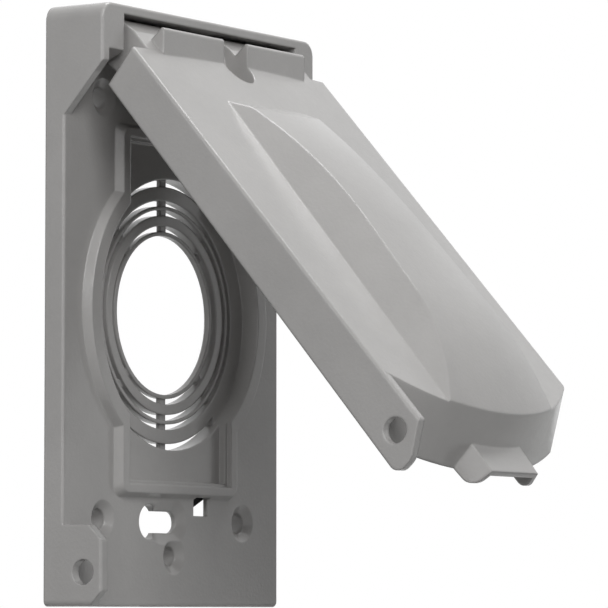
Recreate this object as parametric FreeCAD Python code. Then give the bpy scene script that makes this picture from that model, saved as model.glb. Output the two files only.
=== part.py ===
import FreeCAD, Part
import math
import os

from FreeCAD import Vector

# Weatherproof flip cover for one receptacle: a cast wall plate, a cast lid on a steel hinge pin, and a foam
# gasket. Millimetres. X points right, -Y away from the wall and +Z up. The origin is the middle of the face on
# the wall. The lid is drawn shut and then swung open about its hinge. Its own distances are "down" from the
# hinge axis along the lid, and "out" from the axis towards the lid's front.

# Plate
plate_width = 73.6
plate_height = 116.0
side_draft = 0.2
top_corner_radius = 3.0
bottom_corner_radius = 1.2
floor_depth = 4.5
floor_wall = 2.2
rim_wall = 2.2
recess_corner_radius = 1.5
plate_edge_radius = 0.5

# Hood over the hinge, with a post and a cheek at each side
hood_depth = 13.55
roof_wall = 1.85
cheek_wall = 2.0
post_width = 6.8
cheek_front_drop = 11.3
cheek_slope = 47.8
post_front_drop = 9.0
post_back_drop = 13.2
hood_edge_radius = 0.6

# Raised frame, panel and break-out rings
frame_depth = 6.3
frame_flare = 0.9
frame_land = 2.95
frame_half_width = 19.5
frame_corner_radius = 2.0
ledge_depth = 5.3
ledge_margin = 0.75
opening_half_width = 16.65
opening_band = 2.4
panel_depth = 3.85
panel_wall = 2.05
web_front = 2.3
web_back = 0.1
inner_ring_front = 1.9
inner_ring_back = 0.6
collar_wall = 2.0
gap_widths = [1.36, 1.11, 1.17, 1.15]
ring_widths = [2.79, 0.72, 2.03, 0.8]
bridge_width = 1.9
diagonal_bridge_width = 1.9
bridge_front = 1.6
bridge_back = 0.7

# Screw holes
box_screw_margin_x = 12.95
box_screw_margin_z = 16.9
box_screw_hole = 4.2
box_screw_sink = 7.6
sink_depth = 1.3
boss_wall = 2.2
device_screw_margin = 16.7
keyhole_head = 7.0
keyhole_slot = 4.3
keyhole_sink = 8.8
keyhole_travel = 8.4
keyhole_sink_run = 4.4
plate_screw_drop = 6.7
plate_screw_hole = 3.8
plate_screw_sink = 7.4
screws_to_rings = 20.49
frame_to_keyhole = 5.6
window_left = 6.65
window_width = 4.85
window_height = 3.75
window_rise = 3.3
window_wall = 1.0
window_relief = 3.6

# Gasket
gasket_gap = 0.3
yoke_cut_left = 16.0
yoke_cut_right = 8.0
yoke_cut_inner = 3.8
yoke_cut_outer = 5.7
foam_land = 1.75
foam_corner_rise = 2.0
foam_corner_run = 9.75
foam_corner_slope = 0.62

# Hinge
hinge_depth = 9.7
hinge_drop = 6.6
pin_diameter = 3.2
pin_gap = 0.04
post_hole_gap = 0.02
pin_blind_depth = 3.6
pin_end_recess = 0.4
neck_gap = 1.3
barrel_radius = 4.3
rest_opening = 41.5

# Lid shell
lid_gap = 1.2
lid_wall = 1.9
lid_floor_gap = 1.2
lid_back_slope = 0.0153
lid_front = 4.8
lid_crown = 0.7
shoulder_front = 7.25
shoulder_draft = 1.8
end_front_rise = 5.9
end_front_radius = 60.0
end_back_rise = 1.9
end_back_radius = 80.0
lid_corner_radius = 3.0
lid_edge_radius = 0.6

# Arched bulge on the lid
bulge_top = 15.8
bulge_base_top = 14.0
bulge_base_end = 19.06
bulge_base_out = 5.3
bulge_ridge_top = 7.0
bulge_ridge_end = 14.27
bulge_ridge_out = 11.5
bulge_crest = 12.1
crest_length = 18.0
crest_to_end = 27.5
arch_start_out = 6.4
arch_end_out = 6.0
bulge_roundness = 100.0
riser_slope = 0.5

# Neck, ribs and pocket
neck_front = 4.9
neck_flat_start = 2.4
neck_back = -2.6
rib_half_span = 24.5
rib_start = 4.2
rib_crest = 0.75
rib_out = 8.45
rib_face_angle = 42.0
rib_edge_radius = 0.3
pocket_half_width = 4.2
pocket_end = 8.9
pocket_floor = 1.9
pocket_neck_floor = 2.8
pocket_wall = 1.8

# Padlock lug and ear
lug_wall = 2.0
lug_height = 15.6
lug_chamfer = 3.0
lug_foot_radius = 0.5
lug_top_radius = 1.0
lock_hole = 4.9
lock_hole_depth = 9.2
lock_hole_height = 6.55
ear_length = 19.0
ear_rise = 0.2
ear_chamfer_down = 4.4
ear_chamfer_out = 6.2
ear_front_radius = 0.8
ear_side_radius = 4.0
ear_back_radius = 2.0

# Finger tab
tab_half_width = 8.9
tab_taper = 0.5
tab_overhang = 2.4
tab_sink = 2.0
tab_out = -0.3
tab_tilt = 0.5
tab_wall = 1.2
tab_depth = 6.5
tab_flare = 24.0
tab_lobe_depth = 5.2
tab_lobe_radius = 2.4

top = plate_height / 2
bottom = -top
hood_half_width = plate_width / 2 - side_draft
cheek_inner = hood_half_width - cheek_wall
post_inner = hood_half_width - post_width
hinge_z = top - hinge_drop
lid_half_width = cheek_inner - lid_gap
neck_half_width = post_inner - neck_gap
crown_top = lid_front + lid_crown
end_plate = hinge_z - bottom
end_front = end_plate - end_front_rise
end_back = end_plate - end_back_rise
crest_end = end_front - crest_to_end
crest_start = crest_end - crest_length
ear_tip = end_plate - ear_rise
ear_root = end_plate - ear_length
tab_root = end_front - tab_sink
tab_tip = end_plate + tab_overhang
lid_back = floor_depth + lid_floor_gap - hinge_depth
lid_deepest = lid_back - lid_back_slope * tab_tip
box_screw_x = plate_width / 2 - box_screw_margin_x
box_screw_z = top - box_screw_margin_z
device_screw_z = top - device_screw_margin
plate_screw_z = device_screw_z + plate_screw_drop
window_top = window_rise - device_screw_z + window_height / 2
web_radius = math.hypot(box_screw_x, box_screw_z) - screws_to_rings
frame_radius = web_radius + frame_land
frame_half_height = device_screw_z - frame_to_keyhole
opening_half_height = frame_half_height - opening_band
far = 200.0
overlap = 1.0


def rounded_wire(corners):
    """Closed wire through flat corners, each given as (point, corner radius)."""
    count = len(corners)
    starts, middles, ends = [], [], []
    for i, (point, radius) in enumerate(corners):
        back = (corners[i - 1][0] - point).normalize()
        ahead = (corners[(i + 1) % count][0] - point).normalize()
        half = back.getAngle(ahead) / 2
        reach = radius / math.tan(half)
        inward = (back + ahead).normalize() if radius else Vector(0, 0, 0)
        centre = point + inward * (radius / math.sin(half))
        starts.append(point + back * reach)
        ends.append(point + ahead * reach)
        middles.append(centre - inward * radius)
    edges = []
    for i, (point, radius) in enumerate(corners):
        if radius:
            edges.append(Part.Arc(starts[i], middles[i], ends[i]).toShape())
        following = starts[(i + 1) % count]
        if (following - ends[i]).Length > 1e-6:
            edges.append(Part.LineSegment(ends[i], following).toShape())
    return Part.Wire(edges)


def rectangle(x0, x1, z0, z1, depth, top_radius=0.0, bottom_radius=0.0):
    """Wire of an upright rectangle at a distance in front of the wall."""
    return rounded_wire([
        (Vector(x0, -depth, z0), bottom_radius),
        (Vector(x1, -depth, z0), bottom_radius),
        (Vector(x1, -depth, z1), top_radius),
        (Vector(x0, -depth, z1), top_radius),
    ])


def slab(wire, depth_from, depth_to):
    """Solid of an upright wire drawn at depth_from, carried to depth_to."""
    return Part.Face(wire).extrude(Vector(0, depth_from - depth_to, 0))


def block(x0, x1, z0, z1, depth_from, depth_to):
    return slab(rectangle(x0, x1, z0, z1, depth_from), depth_from, depth_to)


def disc(radius, x, z, depth_from, depth_to, end_radius=None):
    """Cylinder, or cone, along Y from one depth to another."""
    length = depth_to - depth_from
    if end_radius is None or abs(end_radius - radius) < 1e-6:
        return Part.makeCylinder(radius, length, Vector(x, -depth_from, z), Vector(0, -1, 0))
    return Part.makeCone(radius, end_radius, length, Vector(x, -depth_from, z), Vector(0, -1, 0))


def side_prism(corners, x0, x1):
    """Solid of a side profile, given as (depth, z, corner radius), from x0 to x1."""
    wire = rounded_wire([(Vector(x0, -depth, z), radius) for depth, z, radius in corners])
    return Part.Face(wire).extrude(Vector(x1 - x0, 0, 0))


def slot_wire(x0, x1, z, radius, depth):
    """Wire of a slot that runs along X between the centres x0 and x1."""
    a, b = Vector(x0, -depth, z - radius), Vector(x1, -depth, z - radius)
    c, d = Vector(x1, -depth, z + radius), Vector(x0, -depth, z + radius)
    return Part.Wire([
        Part.LineSegment(a, b).toShape(),
        Part.Arc(b, Vector(x1 + radius, -depth, z), c).toShape(),
        Part.LineSegment(c, d).toShape(),
        Part.Arc(d, Vector(x0 - radius, -depth, z), a).toShape(),
    ])


def edges_at_depth(shape, depth):
    """Edges of a shape that lie wholly at one distance in front of the wall."""
    return [e for e in shape.Edges
            if abs(e.BoundBox.YMin + depth) < 1e-4 and abs(e.BoundBox.YMax + depth) < 1e-4]


def tapered_body(depth, edge_radius):
    """The plate's outline, drafted like the hood, from the wall to a depth, with its front edge rounded."""
    inset = side_draft * depth / hood_depth
    half = plate_width / 2
    back = rectangle(-half, half, bottom, top, 0, top_corner_radius, bottom_corner_radius)
    front = rectangle(-half + inset, half - inset, bottom, top, depth, top_corner_radius, bottom_corner_radius)
    body = Part.makeLoft([back, front], True, True)
    return body.makeFillet(edge_radius, edges_at_depth(body, depth))


def plate_shell():
    """Plate with its front floor and its rim, open at the back."""
    plate = tapered_body(floor_depth, plate_edge_radius)
    half = plate_width / 2 - rim_wall
    recess = rectangle(-half, half, bottom + rim_wall, top - rim_wall, 0,
                       recess_corner_radius, recess_corner_radius)
    return plate.cut(slab(recess, 0, floor_depth - floor_wall))


def hood():
    """Roof, posts and cheeks round the hinge."""
    rise = math.tan(math.radians(cheek_slope))
    cheek_front_z = top - cheek_front_drop
    back = floor_depth - floor_wall
    outline = [
        (hood_depth + overlap, cheek_front_z + overlap * rise, 0),
        (back, cheek_front_z - (hood_depth - back) * rise, 0),
        (back, top + overlap, 0),
        (hood_depth + overlap, top + overlap, 0),
    ]
    body = tapered_body(hood_depth, hood_edge_radius)
    body = body.common(side_prism(outline, -far, far))
    body = body.cut(block(-post_inner, post_inner, bottom, top - roof_wall, floor_depth, far))
    below_posts = [
        (hood_depth, top - post_front_drop, 0),
        (floor_depth, top - post_back_drop, 0),
        (floor_depth, bottom, 0),
        (far, bottom, 0),
        (far, top - post_front_drop, 0),
    ]
    return body.cut(side_prism(below_posts, -cheek_inner, cheek_inner))


def padlock_lug():
    """Upright lug at the lower left, which the lid's ear shuts beside."""
    outline = [
        (floor_depth - floor_wall, bottom, 0),
        (hood_depth - lug_chamfer, bottom, lug_foot_radius),
        (hood_depth, bottom + lug_chamfer, lug_foot_radius),
        (hood_depth, bottom + lug_height - lug_chamfer, lug_top_radius),
        (hood_depth - lug_chamfer, bottom + lug_height, lug_top_radius),
        (floor_depth - floor_wall, bottom + lug_height, 0),
    ]
    body = tapered_body(hood_depth, hood_edge_radius)
    return body.common(side_prism(outline, -far, lug_wall - hood_half_width))


def well():
    """Raised frame round the panel, and the walls that carry the panel and the rings behind it."""
    half_x, half_z = frame_half_width, frame_half_height
    foot = rectangle(-half_x - frame_flare, half_x + frame_flare, -half_z - frame_flare,
                     half_z + frame_flare, floor_depth, frame_corner_radius, frame_corner_radius)
    crest = rectangle(-half_x, half_x, -half_z, half_z, frame_depth, frame_corner_radius, frame_corner_radius)
    frame = Part.makeLoft([foot, crest], True, True)
    frame = frame.fuse(disc(frame_radius + frame_flare, 0, 0, floor_depth, frame_depth, frame_radius))
    collar_x, collar_z = opening_half_width + collar_wall, opening_half_height + collar_wall
    collar = block(-collar_x, collar_x, -collar_z, collar_z, web_back, floor_depth)
    return frame.fuse([collar, disc(web_radius + collar_wall, 0, 0, web_back, floor_depth)])


def well_cuts():
    """Stepped opening down to the panel, round pocket down to the rings, and relief behind the panel."""
    half_x, half_z = opening_half_width, opening_half_height
    ledge_x, ledge_z = half_x + ledge_margin, half_z + ledge_margin
    cuts = [
        block(-ledge_x, ledge_x, -ledge_z, ledge_z, ledge_depth, far),
        block(-half_x, half_x, -half_z, half_z, panel_depth, far),
        disc(web_radius, 0, 0, web_front, far),
    ]
    relief = block(-half_x, half_x, -half_z, half_z, 0, panel_depth - panel_wall)
    cuts.append(relief.cut(disc(web_radius + collar_wall / 2, 0, 0, 0, far)))
    return cuts


def bridge_bars(width, angles):
    """Thin bars across the gaps between the rings, at angles from the top."""
    bars = []
    for angle in angles:
        bar = block(-width / 2, width / 2, 0, far, bridge_back, bridge_front)
        bar.rotate(Vector(0, 0, 0), Vector(0, 1, 0), angle)
        bars.append(bar)
    return bars


def ring_cuts():
    """Receptacle hole, the thinner ring round it, and the arcs between the rings, less the bridges."""
    bridges = bridge_bars(bridge_width, [0, 180])
    diagonals = bridge_bars(diagonal_bridge_width, [45, 135, 225, 315])
    between_sides = block(-opening_half_width, opening_half_width, -far, far, 0, far)
    outer = web_radius
    cuts = []
    for gap_width, ring_width in zip(gap_widths, ring_widths):
        gap = disc(outer, 0, 0, 0, far).cut(disc(outer - gap_width, 0, 0, 0, far))
        if cuts:
            cuts.append(gap.cut(bridges + diagonals))
        else:
            cuts.append(gap.common(between_sides).cut(bridges))
        outer -= gap_width + ring_width
    ring_outer = outer + ring_widths[-1]
    thinned = [disc(ring_outer, 0, 0, 0, inner_ring_back), disc(ring_outer, 0, 0, inner_ring_front, far)]
    return cuts + thinned + [disc(outer, 0, 0, 0, far)]


def screw_places():
    """Hole places as (x, z, hole diameter, countersink diameter)."""
    corners = [(sx * box_screw_x, sz * box_screw_z, box_screw_hole, box_screw_sink)
               for sx in (-1, 1) for sz in (-1, 1)]
    return corners + [(0, -plate_screw_z, plate_screw_hole, plate_screw_sink)]


def bosses():
    """Thick places behind the floor that back the screw holes."""
    depth = floor_depth - floor_wall
    return [disc(hole / 2 + boss_wall, x, z, 0, depth) for x, z, hole, sink in screw_places()]


def screw_cuts():
    """Countersunk screw holes, two keyholes, and the small window in its thinned place."""
    cuts = []
    for x, z, hole, sink in screw_places():
        cuts.append(disc(hole / 2, x, z, 0, far))
        cuts.append(disc(hole / 2, x, z, floor_depth - sink_depth, floor_depth, sink / 2))
    for z in (-device_screw_z, device_screw_z):
        cuts.append(disc(keyhole_head / 2, -keyhole_travel, z, 0, far))
        cuts.append(block(-keyhole_travel, 0, z - keyhole_slot / 2, z + keyhole_slot / 2, 0, far))
        cuts.append(disc(keyhole_slot / 2, 0, z, 0, far))
        narrow = slot_wire(-keyhole_sink_run, 0, z, keyhole_slot / 2, floor_depth - sink_depth)
        wide = slot_wire(-keyhole_sink_run, 0, z, keyhole_sink / 2, floor_depth)
        cuts.append(Part.makeLoft([narrow, wide], True, True))
    low, right = window_top - window_height, window_left + window_width
    cuts.append(block(window_left, right, low, window_top, 0, far))
    cuts.append(block(window_left, right + window_relief, low, window_top, 0, floor_depth - window_wall))
    return cuts


def lock_hole_cut(x0, x1):
    """Padlock hole, the same in the lug and in the lid's ear."""
    start = Vector(x0, -lock_hole_depth, bottom + lock_hole_height)
    return Part.makeCylinder(lock_hole / 2, x1 - x0, start, Vector(1, 0, 0))


def hinge_bore(radius, x0, x1):
    return Part.makeCylinder(radius, x1 - x0, Vector(x0, -hinge_depth, hinge_z), Vector(1, 0, 0))


def base_plate():
    """Wall plate, hood, frame, rings and lug, cast as one piece."""
    body = plate_shell().fuse([hood(), padlock_lug(), well()] + bosses())
    body = body.cut(well_cuts() + ring_cuts() + screw_cuts())
    pin_hole = hinge_bore(pin_diameter / 2 + post_hole_gap, -post_inner - pin_blind_depth, far)
    return body.cut([lock_hole_cut(-far, -cheek_inner + overlap), pin_hole]).removeSplitter()


def hinge_pin():
    """Steel pin through the neck, from its blind hole in the left post to the right post's side."""
    start = -post_inner - pin_blind_depth + pin_end_recess
    return hinge_bore(pin_diameter / 2, start, hood_half_width - pin_end_recess)


def yoke_cuts():
    """Places round the keyholes and behind the small window where the foam is cut away."""
    inner, outer = device_screw_z - yoke_cut_inner, device_screw_z + yoke_cut_outer
    right = box_screw_x - box_screw_hole / 2 - boss_wall - gasket_gap - foam_land
    corner = [
        (yoke_cut_right - overlap, -outer),
        (right, -outer),
        (right, foam_corner_slope * (right - foam_corner_run) + foam_corner_rise - device_screw_z),
        (yoke_cut_right - overlap, foam_corner_rise - device_screw_z),
    ]
    return [
        block(-yoke_cut_left, yoke_cut_right, -outer, -inner, 0, far),
        block(-yoke_cut_left, yoke_cut_right, inner, outer, 0, far),
        slab(rounded_wire([(Vector(x, 0, z), 0) for x, z in corner]), 0, far),
    ]


def wall_gasket():
    """Foam sheet in the plate's back, cut out round the well, the bosses and the device's ends."""
    thickness = floor_depth - floor_wall
    half = plate_width / 2 - rim_wall - gasket_gap
    low = bottom + rim_wall + gasket_gap
    corner = recess_corner_radius - gasket_gap
    sheet = slab(rectangle(-half, half, low, -low, 0, corner, corner), 0, thickness)
    well_x = opening_half_width + collar_wall + gasket_gap
    well_z = opening_half_height + collar_wall + gasket_gap
    holes = [
        block(-well_x, well_x, -well_z, well_z, 0, far),
        disc(web_radius + collar_wall + gasket_gap, 0, 0, 0, far),
    ]
    for x, z, hole, sink in screw_places():
        holes.append(disc(hole / 2 + boss_wall + gasket_gap, x, z, 0, far))
    return sheet.cut(holes + yoke_cuts())


def lid_point(x, down, out):
    return Vector(x, -hinge_depth - out, hinge_z - down)


def lid_prism(corners, x0, x1):
    """Solid of a lid profile, given as (down, out, corner radius), from x0 to x1."""
    wire = rounded_wire([(lid_point(x0, down, out), radius) for down, out, radius in corners])
    return Part.Face(wire).extrude(Vector(x1 - x0, 0, 0))


def back_edge(down):
    """How far out the lid's back edge lies; it slopes, so the lid is thicker towards its end."""
    return lid_back - lid_back_slope * down


def lid_outline(out, inset):
    """Outline of the lid at a distance out from the hinge axis: square shoulder, straight sides, arched end."""
    share = (out - lid_deepest) / (crown_top - lid_deepest)
    half = lid_half_width - inset
    shoulder = shoulder_front + shoulder_draft * (1 - share) + inset
    end = end_back + (end_front - end_back) * share - inset
    radius = end_back_radius + (end_front_radius - end_back_radius) * share - inset
    corner = end - radius + math.sqrt(radius ** 2 - half ** 2)
    a, b = lid_point(-half, shoulder, out), lid_point(half, shoulder, out)
    c, d = lid_point(half, corner, out), lid_point(-half, corner, out)
    return Part.Wire([
        Part.LineSegment(a, b).toShape(),
        Part.LineSegment(b, c).toShape(),
        Part.Arc(c, lid_point(0, end, out), d).toShape(),
        Part.LineSegment(d, a).toShape(),
    ])


def lid_sides(inset):
    """Everything between the lid's shoulder, sides and curved end wall, up to above the bulge."""
    outlines = [lid_outline(lid_deepest - inset, inset), lid_outline(bulge_crest + overlap, inset)]
    body = Part.makeLoft(outlines, True, True)
    side = lid_half_width - inset - 0.01
    corner = [e for e in body.Edges if e.BoundBox.XMin > side and e.BoundBox.ZMax < 0]
    return body.makeFillet(lid_corner_radius - inset, corner)


def crown_out(x):
    """How far out the lid's crowned face stands at a distance from its middle."""
    return crown_top - lid_crown * (x / lid_half_width) ** 2


def crown(inset):
    """Everything under the lid's crowned face."""
    side = lid_half_width + overlap
    a, b = lid_point(-side, -far, crown_out(side) - inset), lid_point(side, -far, crown_out(side) - inset)
    c, d = lid_point(side, -far, -bulge_crest), lid_point(-side, -far, -bulge_crest)
    face = Part.Face(Part.Wire([
        Part.Arc(a, lid_point(0, -far, crown_top - inset), b).toShape(),
        Part.LineSegment(b, c).toShape(),
        Part.LineSegment(c, d).toShape(),
        Part.LineSegment(d, a).toShape(),
    ]))
    return face.extrude(Vector(0, 0, -2 * far))


def bulge_half_width(down, out, inset):
    """Half width between the bulge's sloping sides."""
    along = (down - bulge_top) / (end_front - bulge_top)
    base = bulge_base_top + (bulge_base_end - bulge_base_top) * along
    ridge = bulge_ridge_top + (bulge_ridge_end - bulge_ridge_top) * along
    slope = (base - ridge) / (bulge_ridge_out - bulge_base_out)
    return base - slope * (out - bulge_base_out) - inset * math.hypot(1, slope)


def arc_radius(run, rise):
    """Radius of an arc that starts level and drops by a rise over a run."""
    return (run ** 2 + rise ** 2) / (2 * rise)


def barrel(inset):
    """Everything under the arch, which is rounded across the lid as well as along it."""
    upper = arc_radius(crest_start - bulge_top, bulge_crest - arch_start_out)
    lower = arc_radius(end_front - crest_end, bulge_crest - arch_end_out)
    crest = bulge_crest - inset
    drop = crest - lid_front + 2 * overlap
    first_run = math.sqrt(upper ** 2 - (upper - drop) ** 2)
    last_run = math.sqrt(lower ** 2 - (lower - drop) ** 2)

    def arch(radius, start, run):
        return lid_point(0, start + run, crest - radius + math.sqrt(radius ** 2 - run ** 2))

    a, c = arch(upper, crest_start, -first_run), arch(upper, crest_start, 0)
    d, f = arch(lower, crest_end, 0), arch(lower, crest_end, last_run)
    g, h = lid_point(0, crest_end + last_run, -bulge_crest), lid_point(0, crest_start - first_run, -bulge_crest)
    profile = Part.Face(Part.Wire([
        Part.Arc(a, arch(upper, crest_start, -first_run / 2), c).toShape(),
        Part.LineSegment(c, d).toShape(),
        Part.Arc(d, arch(lower, crest_end, last_run / 2), f).toShape(),
        Part.LineSegment(f, g).toShape(),
        Part.LineSegment(g, h).toShape(),
        Part.LineSegment(h, a).toShape(),
    ]))
    axis = lid_point(0, 0, bulge_crest - bulge_roundness)
    half_turn = math.degrees(math.asin(lid_half_width / bulge_roundness))
    profile.rotate(axis, Vector(0, 0, 1), -half_turn)
    return profile.revolve(axis, Vector(0, 0, 1), 2 * half_turn)


def riser(inset):
    """Everything behind the flat slope at the arch's upper end."""
    start, out = bulge_top + inset, crown_top - inset
    reach = bulge_crest / riser_slope
    return lid_prism([
        (start - reach, -bulge_crest, 0),
        (start + reach, out + riser_slope * reach, 0),
        (far, out + riser_slope * reach, 0),
        (far, -bulge_crest, 0),
    ], -lid_half_width, lid_half_width)


def bulge(inset):
    """Arched bulge: sloping sides that spread towards the lid's end, a barrel top and a flat riser."""
    wires = []
    start = bulge_top - 3 * overlap
    for out in (lid_front - inset - overlap, bulge_crest + overlap):
        corners = []
        for down, side in ((start, -1), (start, 1), (end_back, 1), (end_back, -1)):
            corners.append((lid_point(side * bulge_half_width(down, out, inset), down, out), 0))
        wires.append(rounded_wire(corners))
    return Part.makeLoft(wires, True, True).common(barrel(inset)).common(riser(inset))


def lid_form(inset):
    """The lid's outer form, or with an inset the hollow inside it."""
    return lid_sides(inset).common(crown(inset).fuse(bulge(inset)))


def long_edge_sliver(side):
    """What is cut away to round one long front edge of the lid."""
    radius = lid_edge_radius
    x, inner = side * lid_half_width, side * (lid_half_width - radius)
    clear = side * (lid_half_width + overlap)
    out = crown_out(inner)
    turned = radius * (1 - math.sqrt(0.5))
    points = [lid_point(px, 0, po) for px, po in (
        (x, out - radius), (x - side * turned, out - turned), (inner, out),
        (inner, out + overlap), (clear, out + overlap), (clear, out - radius))]
    edges = [Part.Arc(points[0], points[1], points[2]).toShape()]
    edges += [Part.LineSegment(points[i], points[(i + 1) % 6]).toShape() for i in range(2, 6)]
    return Part.Face(Part.Wire(edges)).extrude(Vector(0, 0, -far))


def neck():
    """Neck that runs up under the hood and wraps round the hinge pin."""
    reach = math.hypot(neck_flat_start, neck_front)
    turn = math.atan2(neck_front, neck_flat_start) + math.acos(barrel_radius / reach)
    half_way = (turn + 1.5 * math.pi) / 2
    end = shoulder_front + lid_wall
    points = [lid_point(-neck_half_width, down, out) for down, out in (
        (end, neck_front),
        (neck_flat_start, neck_front),
        (barrel_radius * math.cos(turn), barrel_radius * math.sin(turn)),
        (barrel_radius * math.cos(half_way), barrel_radius * math.sin(half_way)),
        (0, -barrel_radius),
        (end, neck_back))]
    wire = Part.Wire([
        Part.LineSegment(points[0], points[1]).toShape(),
        Part.LineSegment(points[1], points[2]).toShape(),
        Part.Arc(points[2], points[3], points[4]).toShape(),
        Part.LineSegment(points[4], points[5]).toShape(),
        Part.LineSegment(points[5], points[0]).toShape(),
    ])
    return Part.Face(wire).extrude(Vector(2 * neck_half_width, 0, 0))


def ribs():
    """Raised rib across the neck: its back face is square to the lid and its front face slopes down to it."""
    root = lid_front - overlap
    crest = rib_start + rib_crest
    foot = crest + (rib_out - root) / math.tan(math.radians(rib_face_angle))
    profile = [
        (rib_start, root, 0),
        (rib_start, rib_out, rib_edge_radius),
        (crest, rib_out, rib_edge_radius),
        (foot, root, 0),
    ]
    return lid_prism(profile, -rib_half_span, rib_half_span)


def round_end(half, floor, out):
    """Upright cylinder that rounds off the pocket's lower end."""
    return Part.makeCylinder(half, out - floor, lid_point(0, pocket_end, floor), Vector(0, -1, 0))


def pocket():
    """Round-ended pocket between the ribs, shallower where it runs over the pin."""
    start, out = -barrel_radius - overlap, rib_out + overlap
    profile = [
        (start, out, 0),
        (start, pocket_neck_floor, 0),
        (neck_flat_start, pocket_neck_floor, 0),
        (rib_start, pocket_floor, 0),
        (pocket_end, pocket_floor, 0),
        (pocket_end, out, 0),
    ]
    body = lid_prism(profile, -pocket_half_width, pocket_half_width)
    return body.fuse(round_end(pocket_half_width, pocket_floor, out))


def pocket_wall_boss():
    """Casting round the pocket where it stands in the lid's hollow."""
    half, floor, out = pocket_half_width + pocket_wall, pocket_floor - pocket_wall, lid_front - lid_wall / 2
    start = shoulder_front + lid_wall / 2
    profile = [(start, out, 0), (start, floor, 0), (pocket_end, floor, 0), (pocket_end, out, 0)]
    return lid_prism(profile, -half, half).fuse(round_end(half, floor, out))


def ear():
    """Left side wall run on past the curved end, for the padlock."""
    profile = [
        (ear_root, lid_front, 0),
        (ear_tip - ear_chamfer_down, lid_front, ear_front_radius),
        (ear_tip, lid_front - ear_chamfer_out, ear_side_radius),
        (ear_tip, back_edge(ear_tip), ear_back_radius),
        (ear_root, back_edge(ear_root), 0),
    ]
    return lid_prism(profile, -lid_half_width, lid_wall - lid_half_width)


def finger_tab():
    """Tab on the end wall: a channel with flared flanges, cut to a side profile with rounded lobes."""
    sections = []
    for down, half, out in ((tab_root, tab_half_width, tab_out),
                            (tab_tip, tab_half_width - tab_taper, tab_out - tab_tilt)):
        flare = math.tan(math.radians(tab_flare))
        flange = tab_wall / math.cos(math.radians(tab_flare))
        right = [
            (half, out),
            (half + flare * tab_depth, out - tab_depth),
            (half + flare * tab_depth - flange, out - tab_depth),
            (half + flare * tab_wall - flange, out - tab_wall),
        ]
        left = [(-x, o) for x, o in reversed(right)]
        sections.append(rounded_wire([(lid_point(x, down, o), 0) for x, o in right + left]))
    channel = Part.makeLoft(sections, True, True)
    profile = [
        (tab_root, tab_out + overlap, 0),
        (tab_tip, tab_out + overlap, 0),
        (tab_tip, tab_out - tab_lobe_depth, tab_lobe_radius),
        (end_back, back_edge(end_back), 0),
        (tab_root, back_edge(tab_root), 0),
    ]
    return channel.common(lid_prism(profile, -lid_half_width, lid_half_width))


def lid():
    """Cast lid, drawn shut and swung to its resting angle."""
    body = lid_form(0).fuse(ear())
    body = body.cut([long_edge_sliver(-1), long_edge_sliver(1)])
    body = body.fuse([neck(), ribs(), finger_tab()]).cut(lid_form(lid_wall)).fuse(pocket_wall_boss())
    start = shoulder_front
    behind = [
        (start, back_edge(start), 0),
        (start, lid_deepest - overlap, 0),
        (tab_tip + overlap, lid_deepest - overlap, 0),
        (tab_tip + overlap, back_edge(tab_tip + overlap), 0),
    ]
    body = body.cut(lid_prism(behind, -lid_half_width - overlap, lid_half_width + overlap))
    bore = hinge_bore(pin_diameter / 2 + pin_gap, -far, far)
    ear_hole = lock_hole_cut(-lid_half_width - overlap, lid_wall - lid_half_width)
    body = body.cut([pocket(), bore, ear_hole])
    body.rotate(lid_point(0, 0, 0), Vector(-1, 0, 0), rest_opening)
    return body


os.makedirs("parts", exist_ok=True)
nodes = {"base_plate": base_plate, "lid": lid, "hinge_pin": hinge_pin, "wall_gasket": wall_gasket}
for name, make in nodes.items():
    make().exportStep(f"parts/{name}.step")
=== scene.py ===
"""Materials, light and camera for the weatherproof flip cover. Lengths are in metres, colours are linear."""
import math

import bpy
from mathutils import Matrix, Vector

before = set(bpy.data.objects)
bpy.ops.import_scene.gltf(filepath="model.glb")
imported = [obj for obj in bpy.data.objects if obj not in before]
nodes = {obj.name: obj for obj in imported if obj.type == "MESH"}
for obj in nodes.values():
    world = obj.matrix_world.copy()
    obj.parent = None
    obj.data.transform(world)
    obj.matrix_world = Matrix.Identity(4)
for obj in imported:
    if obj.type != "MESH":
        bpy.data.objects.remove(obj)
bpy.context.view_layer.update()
scene = bpy.context.scene

COAT = (0.40, 0.392, 0.385)
STEEL = (0.52, 0.51, 0.49)
FOAM = (0.022, 0.022, 0.023)
WHITE = (1, 1, 1, 1)

# Nearly all values of a noise texture lie between these
NOISE_LOW, NOISE_HIGH = 0.3, 0.7

# Noise scales are in cells per metre, bump heights and edge radii in metres
COAT_MOTTLE_SCALE, COAT_MOTTLE_DETAIL, COAT_MOTTLE_ROUGHNESS = 45.0, 7.0, 0.68
COAT_GLOSS_SCALE = 900.0
COAT_WAVE_SCALE, COAT_WAVE_HEIGHT = 260.0, 0.00005
COAT_GRAIN_SCALE, COAT_GRAIN_HEIGHT = 1500.0, 0.00005
PLATE_EDGE_RADIUS, LID_EDGE_RADIUS = 0.0005, 0.0007
EDGE_SAMPLES = 8

STREAK_SCALE, STREAK_HEIGHT = 900.0, 0.00002
STREAK_STRETCH = (0.05, 1.0, 1.0)

FOAM_TONE_SCALE, FOAM_GLOSS_SCALE = 300.0, 1200.0
FOAM_CELL_SCALE, FOAM_CELL_HEIGHT = 1600.0, 0.00015

FLOOR_SIZE, FLOOR_HEIGHT = 6.0, -0.14
FLOOR_LIT = (0.15, 0.15, 0.15, 1)
FLOOR_SEEN = (0.5, 0.5, 0.495, 1)
FLOOR_GLOW_COLOUR, FLOOR_GLOW = (1.0, 1.0, 0.99, 1), 0.4
FLOOR_GLOSS_SCALE = 60.0
WORLD_SEEN, WORLD_FILL = 1.0, 0.01

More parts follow.
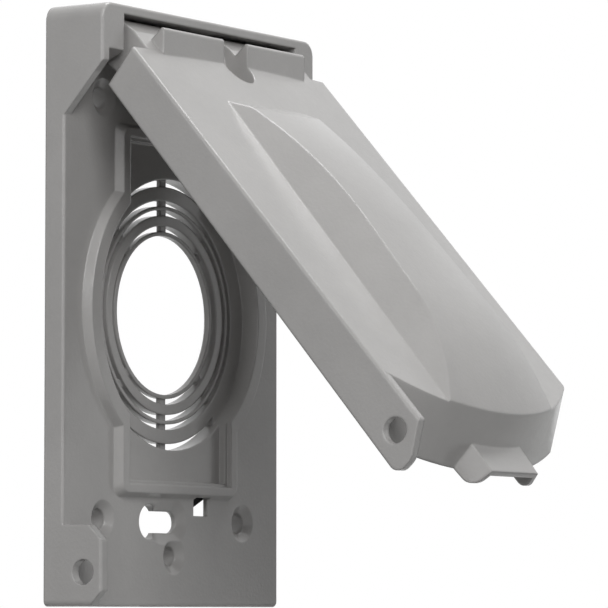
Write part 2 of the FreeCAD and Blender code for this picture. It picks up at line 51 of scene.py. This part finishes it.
LAMP_SIZE = 0.8
LAMPS = [
    # name, place, target, watts
    ("top_lamp", (0.35, -0.1, 1.1), (0, -0.03, 0), 9.0),
    ("front_left_lamp", (-0.7, -0.85, 0.6), (0, -0.03, 0), 9.0),
    ("left_lamp", (-1.1, 0.05, 0.3), (0, -0.03, 0), 3.1),
    ("back_lamp", (0.25, 1.5, 0.45), (0, 0, 0), 5.0),
]

# The camera was fitted to the photo, whose frame is 608 pixels wide
FRAME_PIXELS, FOCAL_PIXELS = 608, 4211.53
SENSOR_WIDTH = 36.0
CAMERA_PLACE = (-0.682743, -0.488284, -0.0595)
VIEW_AZIMUTH, VIEW_PITCH = math.radians(56.444), 0.0736008
CLIP_NEAR, CLIP_FAR = 0.01, 20.0


def new_material(name):
    mat = bpy.data.materials.new(name)
    mat.use_nodes = True
    tree = mat.node_tree
    tree.nodes.clear()
    output = tree.nodes.new("ShaderNodeOutputMaterial")
    shader = tree.nodes.new("ShaderNodeBsdfPrincipled")
    tree.links.new(shader.outputs["BSDF"], output.inputs["Surface"])
    return mat, tree, shader


def noise(tree, scale, detail=2.0, roughness=0.5, stretch=None):
    """Noise in the object's own coordinates."""
    coords = tree.nodes.new("ShaderNodeTexCoord")
    texture = tree.nodes.new("ShaderNodeTexNoise")
    texture.inputs["Scale"].default_value = scale
    texture.inputs["Detail"].default_value = detail
    texture.inputs["Roughness"].default_value = roughness
    source = coords.outputs["Object"]
    if stretch:
        mapping = tree.nodes.new("ShaderNodeMapping")
        mapping.inputs["Scale"].default_value = stretch
        tree.links.new(source, mapping.inputs["Vector"])
        source = mapping.outputs["Vector"]
    tree.links.new(source, texture.inputs["Vector"])
    return texture.outputs["Fac"]


def tones(tree, value, colour, darkest, lightest):
    """The colour times darkest to the colour times lightest, along a noise value."""
    node = tree.nodes.new("ShaderNodeValToRGB")
    stops = [(NOISE_LOW, darkest), (NOISE_HIGH, lightest)]
    for element, (position, factor) in zip(node.color_ramp.elements, stops):
        element.position = position
        element.color = (*(c * factor for c in colour), 1)
    tree.links.new(value, node.inputs["Fac"])
    return node.outputs["Color"]


def spread(tree, value, low, high):
    """A number from low to high, along a noise value."""
    node = tree.nodes.new("ShaderNodeMapRange")
    node.inputs["From Min"].default_value = NOISE_LOW
    node.inputs["From Max"].default_value = NOISE_HIGH
    node.inputs["To Min"].default_value = low
    node.inputs["To Max"].default_value = high
    tree.links.new(value, node.inputs["Value"])
    return node.outputs["Result"]


def bump(tree, value, height, strength, under=None):
    """Normal of a surface that stands up with the value, on top of the normal under it."""
    node = tree.nodes.new("ShaderNodeBump")
    node.inputs["Distance"].default_value = height
    node.inputs["Strength"].default_value = strength
    tree.links.new(value, node.inputs["Height"])
    if under is not None:
        tree.links.new(under, node.inputs["Normal"])
    return node.outputs["Normal"]


def soft_edges(tree, radius):
    """Normal that rounds the casting's edges."""
    node = tree.nodes.new("ShaderNodeBevel")
    node.samples = EDGE_SAMPLES
    node.inputs["Radius"].default_value = radius
    return node.outputs["Normal"]


def powder_coat(name, edge_radius):
    """Mottled semi-gloss grey with a soft grain and bright edges."""
    mat, tree, shader = new_material(name)
    mottle = noise(tree, COAT_MOTTLE_SCALE, COAT_MOTTLE_DETAIL, COAT_MOTTLE_ROUGHNESS)
    tree.links.new(tones(tree, mottle, COAT, 0.94, 1.06), shader.inputs["Base Color"])
    gloss = noise(tree, COAT_GLOSS_SCALE)
    tree.links.new(spread(tree, gloss, 0.3, 0.38), shader.inputs["Roughness"])
    normal = soft_edges(tree, edge_radius)
    normal = bump(tree, noise(tree, COAT_WAVE_SCALE), COAT_WAVE_HEIGHT, 0.35, normal)
    normal = bump(tree, noise(tree, COAT_GRAIN_SCALE, 1.0), COAT_GRAIN_HEIGHT, 0.6, normal)
    tree.links.new(normal, shader.inputs["Normal"])
    tree.links.new(normal, shader.inputs["Coat Normal"])
    shader.inputs["Specular IOR Level"].default_value = 0.1
    shader.inputs["Coat Weight"].default_value = 0.7
    shader.inputs["Coat Roughness"].default_value = 0.17
    return mat


def drawn_steel(name):
    """Bare steel with streaks along the pin."""
    mat, tree, shader = new_material(name)
    streaks = noise(tree, STREAK_SCALE, 3.0, 0.6, STREAK_STRETCH)
    tree.links.new(tones(tree, streaks, STEEL, 0.8, 1.1), shader.inputs["Base Color"])
    tree.links.new(spread(tree, streaks, 0.25, 0.42), shader.inputs["Roughness"])
    tree.links.new(bump(tree, streaks, STREAK_HEIGHT, 0.4), shader.inputs["Normal"])
    shader.inputs["Metallic"].default_value = 1.0
    return mat


def foam(name):
    """Matt black closed-cell foam."""
    mat, tree, shader = new_material(name)
    coords = tree.nodes.new("ShaderNodeTexCoord")
    cells = tree.nodes.new("ShaderNodeTexVoronoi")
    cells.inputs["Scale"].default_value = FOAM_CELL_SCALE
    tree.links.new(coords.outputs["Object"], cells.inputs["Vector"])
    tone, gloss = noise(tree, FOAM_TONE_SCALE, 3.0), noise(tree, FOAM_GLOSS_SCALE)
    tree.links.new(tones(tree, tone, FOAM, 0.75, 1.35), shader.inputs["Base Color"])
    tree.links.new(spread(tree, gloss, 0.8, 0.95), shader.inputs["Roughness"])
    tree.links.new(bump(tree, cells.outputs["Distance"], FOAM_CELL_HEIGHT, 0.8), shader.inputs["Normal"])
    return mat


def give(node, mat):
    for slot in nodes[node].material_slots:
        slot.link = "OBJECT"
        slot.material = mat


def area_lamp(name, place, target, power):
    data = bpy.data.lights.new(name, "AREA")
    data.shape = "DISK"
    data.size = LAMP_SIZE
    data.energy = power
    lamp = bpy.data.objects.new(name, data)
    scene.collection.objects.link(lamp)
    lamp.location = place
    lamp.rotation_euler = (Vector(target) - Vector(place)).to_track_quat("-Z", "Y").to_euler()


def seen_share(tree):
    """1 for what is seen directly or in a gloss or glass, 0 for light that falls on the object."""
    path = tree.nodes.new("ShaderNodeLightPath")
    share = path.outputs["Is Camera Ray"]
    for ray in ("Is Glossy Ray", "Is Transmission Ray"):
        node = tree.nodes.new("ShaderNodeMath")
        node.operation = "MAXIMUM"
        tree.links.new(share, node.inputs[0])
        tree.links.new(path.outputs[ray], node.inputs[1])
        share = node.outputs["Value"]
    return share


def white_world():
    """World that is seen white and gives hardly any light."""
    world = bpy.data.worlds.new("studio")
    scene.world = world
    world.use_nodes = True
    tree = world.node_tree
    tree.nodes.clear()
    output = tree.nodes.new("ShaderNodeOutputWorld")
    mix = tree.nodes.new("ShaderNodeMixShader")
    tree.links.new(seen_share(tree), mix.inputs["Fac"])
    for slot, strength in ((1, WORLD_FILL), (2, WORLD_SEEN)):
        background = tree.nodes.new("ShaderNodeBackground")
        background.inputs["Color"].default_value = WHITE
        background.inputs["Strength"].default_value = strength
        tree.links.new(background.outputs["Background"], mix.inputs[slot])
    tree.links.new(mix.outputs["Shader"], output.inputs["Surface"])


def paper_floor():
    """Floor that is seen pale, with the object's shadow, and throws little light back up."""
    bpy.ops.mesh.primitive_plane_add(size=FLOOR_SIZE, location=(0, 0, FLOOR_HEIGHT))
    floor = bpy.context.object
    floor.name = "studio_floor"
    mat, tree, shader = new_material("floor_paper")
    share = seen_share(tree)
    paper = tree.nodes.new("ShaderNodeMix")
    paper.data_type = "RGBA"
    paper.inputs["A"].default_value = FLOOR_LIT
    paper.inputs["B"].default_value = FLOOR_SEEN
    tree.links.new(share, paper.inputs["Factor"])
    tree.links.new(paper.outputs["Result"], shader.inputs["Base Color"])
    gloss = noise(tree, FLOOR_GLOSS_SCALE, 3.0)
    tree.links.new(spread(tree, gloss, 0.75, 0.9), shader.inputs["Roughness"])
    shader.inputs["Emission Color"].default_value = FLOOR_GLOW_COLOUR
    glow = tree.nodes.new("ShaderNodeMapRange")
    glow.inputs["To Max"].default_value = FLOOR_GLOW
    tree.links.new(share, glow.inputs["Value"])
    tree.links.new(glow.outputs["Result"], shader.inputs["Emission Strength"])
    floor.data.materials.append(mat)


def photo_camera():
    data = bpy.data.cameras.new("view_camera")
    data.sensor_width = SENSOR_WIDTH
    data.lens = FOCAL_PIXELS / FRAME_PIXELS * SENSOR_WIDTH
    data.clip_start, data.clip_end = CLIP_NEAR, CLIP_FAR
    camera = bpy.data.objects.new("view_camera", data)
    scene.collection.objects.link(camera)
    camera.location = CAMERA_PLACE
    looking = Vector((
        math.sin(VIEW_AZIMUTH) * math.cos(VIEW_PITCH),
        math.cos(VIEW_AZIMUTH) * math.cos(VIEW_PITCH),
        math.sin(VIEW_PITCH),
    ))
    camera.rotation_euler = looking.to_track_quat("-Z", "Y").to_euler()
    scene.camera = camera


give("base_plate", powder_coat("plate_powder_coat", PLATE_EDGE_RADIUS))
give("lid", powder_coat("lid_powder_coat", LID_EDGE_RADIUS))
give("hinge_pin", drawn_steel("pin_drawn_steel"))
give("wall_gasket", foam("gasket_foam"))

white_world()
paper_floor()
for lamp_row in LAMPS:
    area_lamp(*lamp_row)
photo_camera()
scene.view_settings.view_transform = "Standard"
